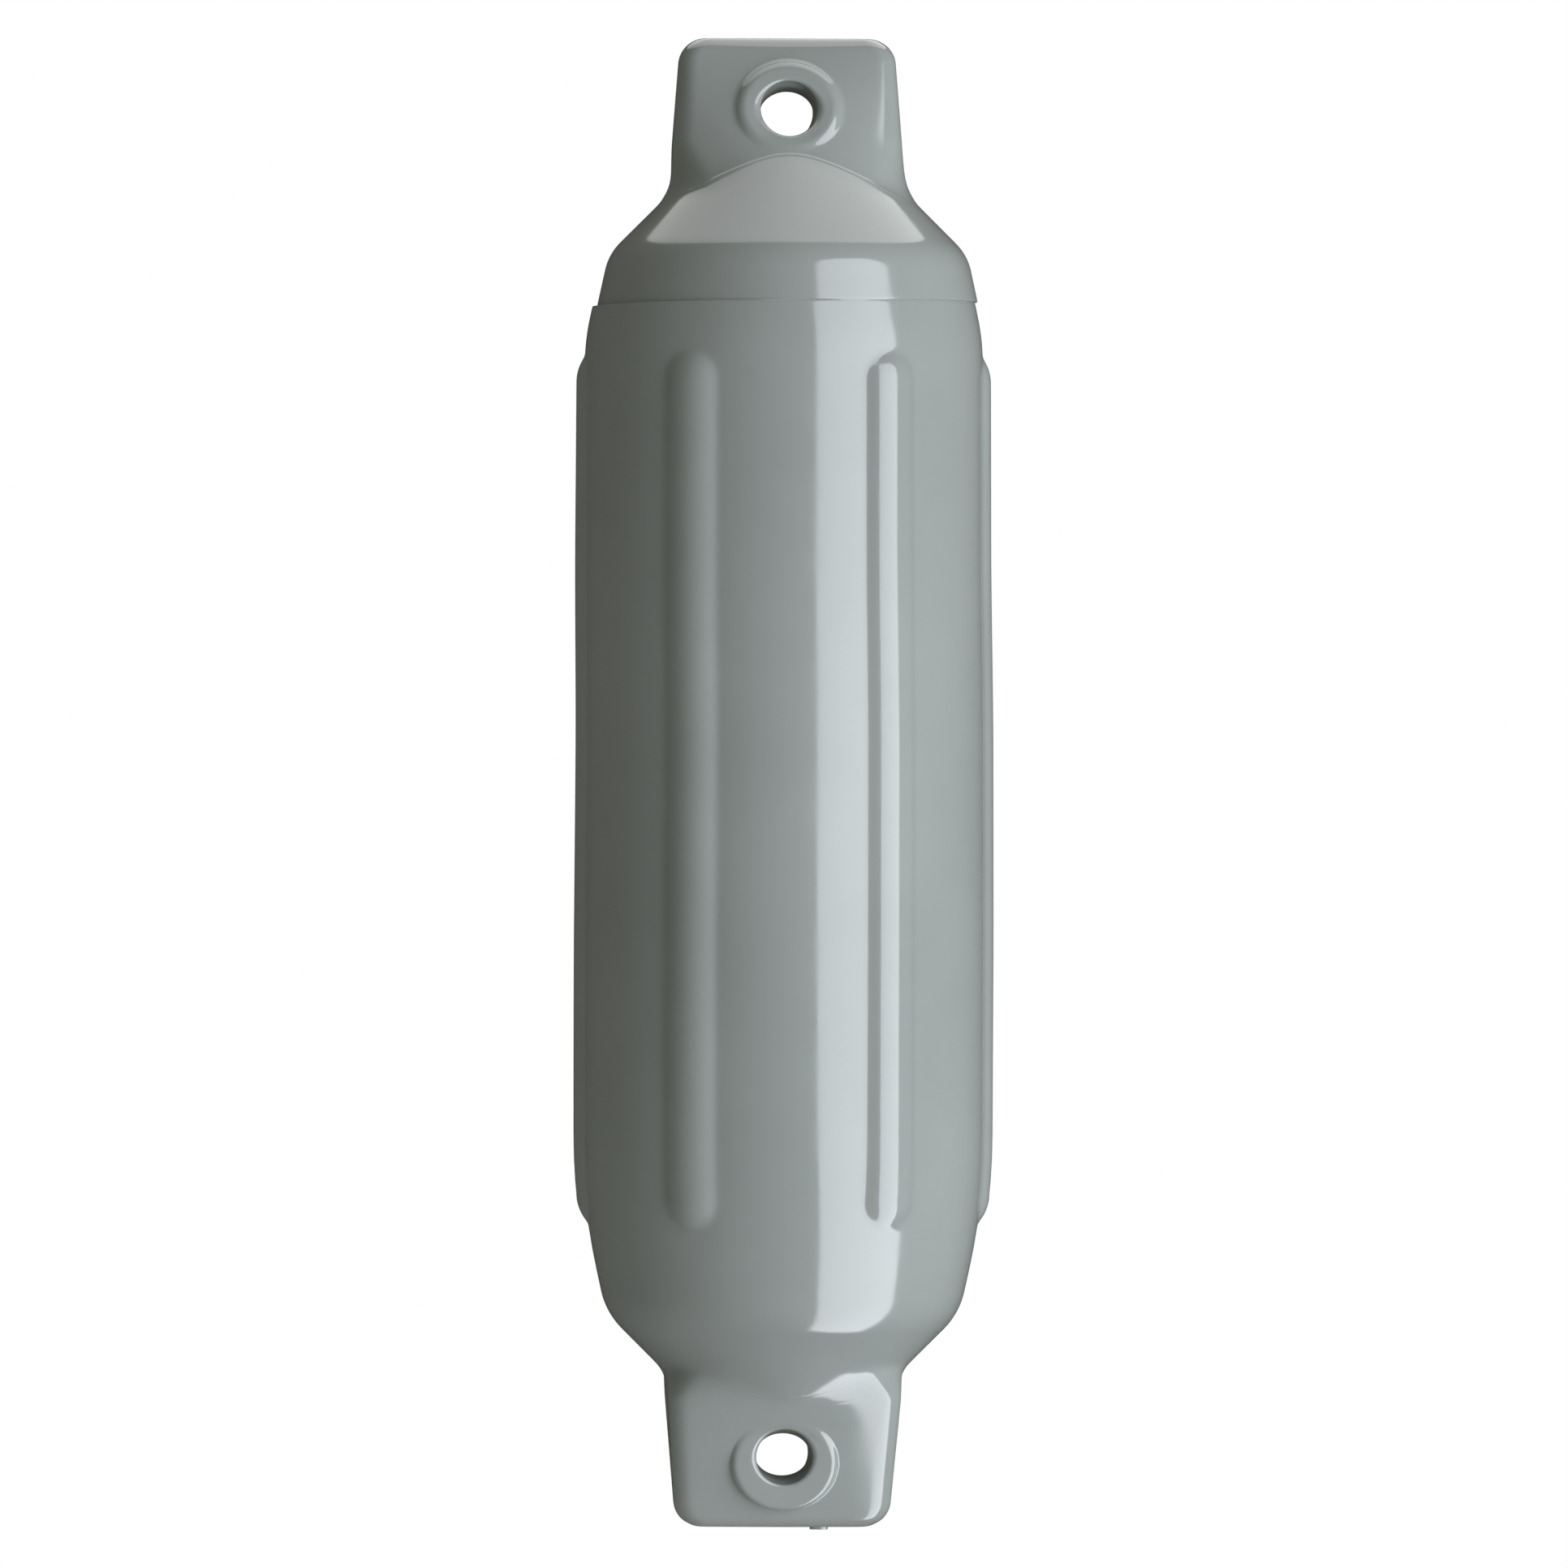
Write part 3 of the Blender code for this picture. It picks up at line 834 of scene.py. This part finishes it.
def makeVinyl():
    finish, nodes, links = newFinish("greyVinyl")
    shader = nodes["Principled BSDF"]
    shader.inputs["Coat Weight"].default_value = 0.0
    shader.inputs["IOR"].default_value = vinylFinish["refraction"]
    place = addNode(nodes, "ShaderNodeTexCoord").outputs["Object"]
    cloud = addNode(nodes, "ShaderNodeTexNoise", Scale=vinylFinish["cloudScale"], Detail=4.0, Roughness=0.55)
    links.new(place, cloud.inputs["Vector"])
    tint = addNode(nodes, "ShaderNodeMix", data_type="RGBA")
    tint.inputs[6].default_value = (*vinylFinish["shade"], 1)
    tint.inputs[7].default_value = (*vinylFinish["colour"], 1)
    links.new(addRamp(nodes, links, cloud.outputs["Fac"], *vinylFinish["cloudRange"]), tint.inputs[0])
    links.new(tint.outputs[2], shader.inputs["Base Color"])
    smear = addNode(nodes, "ShaderNodeTexNoise", Scale=vinylFinish["scuffScale"], Detail=3.0, Roughness=0.6)
    links.new(place, smear.inputs["Vector"])
    rough = addRamp(nodes, links, smear.outputs["Fac"], *vinylFinish["scuffRange"], *vinylFinish["roughness"])
    links.new(rough, shader.inputs["Roughness"])
    peel = addNode(nodes, "ShaderNodeTexNoise", Scale=vinylFinish["peelScale"], Detail=2.0, Roughness=0.5)
    links.new(place, peel.inputs["Vector"])
    lineBump = addNode(nodes, "ShaderNodeBump", Strength=1.0, Distance=mouldLine["depth"])
    links.new(addMouldLines(nodes, links, place), lineBump.inputs["Height"])
    peelBump = addNode(nodes, "ShaderNodeBump", Strength=1.0, Distance=vinylFinish["peelDepth"])
    links.new(peel.outputs["Fac"], peelBump.inputs["Height"])
    links.new(lineBump.outputs["Normal"], peelBump.inputs["Normal"])
    links.new(peelBump.outputs["Normal"], shader.inputs["Normal"])
    return finish


def makeValvePlastic():
    finish, nodes, links = newFinish("valvePlastic")
    shader = nodes["Principled BSDF"]
    place = addNode(nodes, "ShaderNodeTexCoord").outputs["Object"]
    grain = addNode(nodes, "ShaderNodeTexNoise", Scale=valveFinish["grainScale"], Detail=2.0)
    links.new(place, grain.inputs["Vector"])
    tint = addNode(nodes, "ShaderNodeMix", data_type="RGBA")
    tint.inputs[6].default_value = (*valveFinish["shade"], 1)
    tint.inputs[7].default_value = (*valveFinish["colour"], 1)
    links.new(addRamp(nodes, links, grain.outputs["Fac"], *valveFinish["grainRange"]), tint.inputs[0])
    links.new(tint.outputs[2], shader.inputs["Base Color"])
    rough = addRamp(nodes, links, grain.outputs["Fac"], *valveFinish["grainRange"], *valveFinish["roughness"])
    links.new(rough, shader.inputs["Roughness"])
    bump = addNode(nodes, "ShaderNodeBump", Strength=0.6, Distance=valveFinish["grainDepth"])
    links.new(grain.outputs["Fac"], bump.inputs["Height"])
    links.new(bump.outputs["Normal"], shader.inputs["Normal"])
    return finish


skin.data.materials.clear()
skin.data.materials.append(makeVinyl())
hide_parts("fender_body")
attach(skin, "root")
valvePlastic = makeValvePlastic()
for nodeName in ("valve_seat", "valve_screw"):
    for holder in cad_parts[nodeName].material_slots:
        holder.material = valvePlastic
print("finishes set")


# studio

camera = {
    "distance": 4.5,
    "span": 0.5091,  # what the picture's width takes in at the object
    "sensor": 36,
    "turn": 2.3,
    "roll": 0.2,
    "height": -0.2184,
    "aside": -0.00013,
}
studio = {
    "keyRadiance": (5.3, 6.9),  # from the top down
    "keyFade": (0.6, -1.0),  # the heights between which it changes
    "keyLeftShare": 0.86,  # of that, at its left edge
    "keyDistance": 1.5,
    "keyAzimuths": (16.0, 65.0),
    "keyHeights": (-7.8, 1.05),
    "keyCorners": {(-1, -1): 0.25, (1, -1): 1.00, (-1, 1): 0.30, (1, 1): 0.55},  # side and level: rounding
    "keyLean": (0.150, 0.25),  # for each metre down: how far it swings to the right, and how much it widens
    "keyDiffuse": 4.2,
    "keyLightAzimuth": 47.0,
    "keyLightSize": (1.2, 2.6),
    "keyTint": (0.97, 1.0, 1.06),
    "topRadiance": (1.65, 2.35),  # at the left and at the right
    "topFade": (-1.0, 0.2),
    "topDiffuse": 0.45,
    "topHeight": 1.2,
    "topDisc": (1.11, 1.38, 1.045),  # half width, half depth, and how far back its middle is
    "topLamp": (2.72, 1.11),  # size, and how far back its middle is
    "fill": 0.285,
    "fillTint": (1.0, 1.0, 0.86),
    "darkWall": (0.050, 0.052, 0.040),
    "wallRadius": 7.0,
    "wallHeight": 16.0,
    "floorHeight": -0.62,
    "floorColour": (0.86, 0.86, 0.86),
    "floorRadius": 0.90,
}


def placeCamera():
    turn = math.radians(camera["turn"])
    look = Vector((math.sin(turn), math.cos(turn), 0))
    right = Vector((math.cos(turn), -math.sin(turn), 0))
    place = right * camera["aside"] - look * camera["distance"] + Vector((0, 0, camera["height"]))
    bpy.ops.object.camera_add(location=place)
    lens = bpy.context.object
    lens.name = "photoCamera"
    lens.rotation_euler = (math.pi / 2, -math.radians(camera["roll"]), -turn)
    lens.data.sensor_width = camera["sensor"]
    lens.data.lens = camera["sensor"] * camera["distance"] / camera["span"]
    bpy.context.scene.camera = lens


def addPanel(name, centre, aimAt, width, height, radiance, diffuse, glossy):
    bpy.ops.object.light_add(type="AREA", location=centre)
    lamp = bpy.context.object
    lamp.name = name
    lamp.rotation_euler = (Vector(aimAt) - Vector(centre)).to_track_quat("-Z", "Y").to_euler()
    lamp.data.shape = "RECTANGLE"
    lamp.data.size, lamp.data.size_y = width, height
    lamp.data.energy = radiance * math.pi * width * height
    lamp.visible_camera = False
    lamp.visible_diffuse = diffuse
    lamp.visible_glossy = glossy
    return lamp


def addKey():
    # the tall softbox at the right: a rounded panel for its reflection, a lamp for its light
    low, high = (math.radians(value) for value in studio["keyAzimuths"])
    middle, half = (low + high) / 2, (high - low) / 2
    reach = studio["keyDistance"]
    bottom, top = studio["keyHeights"]
    spot = Vector((math.sin(middle) * reach, -math.cos(middle) * reach, (bottom + top) / 2))
    addSoftbox("keyShine", spot, middle, 2 * reach * math.tan(half), top - bottom)
    turn = math.radians(studio["keyLightAzimuth"])
    spot = Vector((math.sin(turn) * reach, -math.cos(turn) * reach, camera["height"]))
    aim = (0, 0, camera["height"])
    lamp = addPanel("keyLight", spot, aim, *studio["keyLightSize"], studio["keyDiffuse"], True, False)
    lamp.data.color = studio["keyTint"]


def addSoftbox(name, spot, azimuth, width, height):
    deselectAll()
    bpy.ops.mesh.primitive_plane_add(size=1)
    box = bpy.context.object
    box.name = name
    box.scale = (width, height, 1)
    bpy.ops.object.transform_apply(location=False, rotation=False, scale=True)
    bpy.ops.object.mode_set(mode="EDIT")
    bpy.ops.mesh.select_mode(type="VERT")
    for (edge, level), rounding in studio["keyCorners"].items():
        bpy.ops.mesh.select_all(action="DESELECT")
        sheet = bmesh.from_edit_mesh(box.data)
        for vert in sheet.verts:
            vert.select_set(vert.co.x * edge > width * 0.49 and vert.co.y * level > height * 0.49)
        bmesh.update_edit_mesh(box.data)
        bpy.ops.mesh.bevel(offset=rounding, segments=12, affect="VERTICES")
    bpy.ops.mesh.select_all(action="SELECT")
    bpy.ops.mesh.subdivide(number_cuts=24)
    bpy.ops.object.mode_set(mode="OBJECT")
    lean, spread = studio["keyLean"]
    for vertex in box.data.vertices:
        drop = max(camera["height"] - spot.z - vertex.co.y, 0.0)
        vertex.co.x += drop * (lean + spread * (0.5 + vertex.co.x / width))
    box.location = spot
    box.rotation_euler = (math.pi / 2, 0, azimuth)
    finish = makeGlow(name, studio["keyTint"], 1.0)
    nodes, links = finish.node_tree.nodes, finish.node_tree.links
    split = addNode(nodes, "ShaderNodeSeparateXYZ")
    links.new(addNode(nodes, "ShaderNodeTexCoord").outputs["Object"], split.inputs[0])
    upper, lower = (level - spot.z for level in studio["keyFade"])
    bright, brightest = studio["keyRadiance"]
    down = addRamp(nodes, links, split.outputs["Y"], lower, upper, brightest, bright)
    along = addRamp(nodes, links, split.outputs["X"], -width / 2, width / 2, studio["keyLeftShare"], 1.0)
    links.new(addMath(nodes, links, "MULTIPLY", down, along), nodes["Emission"].inputs["Strength"])
    box.data.materials.append(finish)
    onlyReflected(box)


def makeGlow(name, colour, strength):
    finish, nodes, links = newFinish(name)
    nodes.remove(nodes["Principled BSDF"])
    glow = addNode(nodes, "ShaderNodeEmission", Strength=strength)
    glow.inputs["Color"].default_value = (*colour, 1)
    links.new(glow.outputs[0], nodes["Material Output"].inputs["Surface"])
    return finish


def onlyReflected(thing):
    thing.visible_camera = thing.visible_diffuse = False
    thing.visible_shadow = thing.visible_transmission = False


def addTop():
    # the overhead light: an oval that fades to the left for its reflection, a lamp for its light
    halfWidth, halfDepth, back = studio["topDisc"]
    deselectAll()
    spot = Vector((0, back, studio["topHeight"]))
    bpy.ops.mesh.primitive_circle_add(vertices=96, radius=1, fill_type="NGON", location=spot)
    disc = bpy.context.object
    disc.name = "topShine"
    disc.scale = (halfWidth, halfDepth, 1)
    bpy.ops.object.transform_apply(location=False, rotation=False, scale=True)
    finish = makeGlow("topShine", (1, 1, 1), 1.0)
    nodes, links = finish.node_tree.nodes, finish.node_tree.links
    place = addNode(nodes, "ShaderNodeTexCoord").outputs["Object"]
    split = addNode(nodes, "ShaderNodeSeparateXYZ")
    links.new(place, split.inputs[0])
    strength = addRamp(nodes, links, split.outputs["X"], *studio["topFade"], *studio["topRadiance"])
    links.new(strength, nodes["Emission"].inputs["Strength"])
    disc.data.materials.append(finish)
    onlyReflected(disc)
    size, back = studio["topLamp"]
    spot = Vector((0, back, studio["topHeight"]))
    addPanel("topLight", spot, spot - Vector((0, 0, 1)), size, size, studio["topDiffuse"], True, False)


def addDarkWall():
    # a dark drape round the set, which only reflections see
    deselectAll()
    bpy.ops.mesh.primitive_cylinder_add(
        vertices=64, radius=studio["wallRadius"], depth=studio["wallHeight"], end_fill_type="NGON"
    )
    wall = bpy.context.object
    wall.name = "darkDrape"
    wall.data.materials.append(makeGlow("drape", studio["darkWall"], 1.0))
    onlyReflected(wall)


def addFloor():
    deselectAll()
    bpy.ops.mesh.primitive_circle_add(
        vertices=96, radius=studio["floorRadius"], fill_type="NGON", location=(0, 0, studio["floorHeight"])
    )
    floor = bpy.context.object
    floor.name = "floor"
    finish, nodes, links = newFinish("paleFloor")
    nodes["Principled BSDF"].inputs["Base Color"].default_value = (*studio["floorColour"], 1)
    nodes["Principled BSDF"].inputs["Roughness"].default_value = 0.9
    floor.data.materials.append(finish)
    floor.visible_glossy = floor.visible_shadow = False


def lightWorld():
    world = bpy.data.worlds.new("studioWorld")
    bpy.context.scene.world = world
    world.use_nodes = True
    nodes, links = world.node_tree.nodes, world.node_tree.links
    ground = nodes["Background"]
    tint = addNode(nodes, "ShaderNodeMix", data_type="RGBA")
    tint.inputs[6].default_value = (*studio["fillTint"], 1)
    tint.inputs[7].default_value = (1, 1, 1, 1)
    links.new(tint.outputs[2], ground.inputs["Color"])
    path = addNode(nodes, "ShaderNodeLightPath")
    seen = addNode(nodes, "ShaderNodeMath", operation="MAXIMUM")
    reached = addNode(nodes, "ShaderNodeMath", operation="MAXIMUM")
    links.new(path.outputs["Is Camera Ray"], seen.inputs[0])
    links.new(path.outputs["Is Glossy Ray"], seen.inputs[1])
    links.new(seen.outputs[0], reached.inputs[0])
    links.new(path.outputs["Is Transmission Ray"], reached.inputs[1])
    links.new(reached.outputs[0], tint.inputs[0])
    strength = addRamp(nodes, links, reached.outputs[0], 0, 1, studio["fill"], 1.0)
    links.new(strength, ground.inputs["Strength"])


placeCamera()
addKey()
addTop()
addDarkWall()
addFloor()
lightWorld()
bpy.context.scene.view_settings.view_transform = "Standard"
print("studio set")
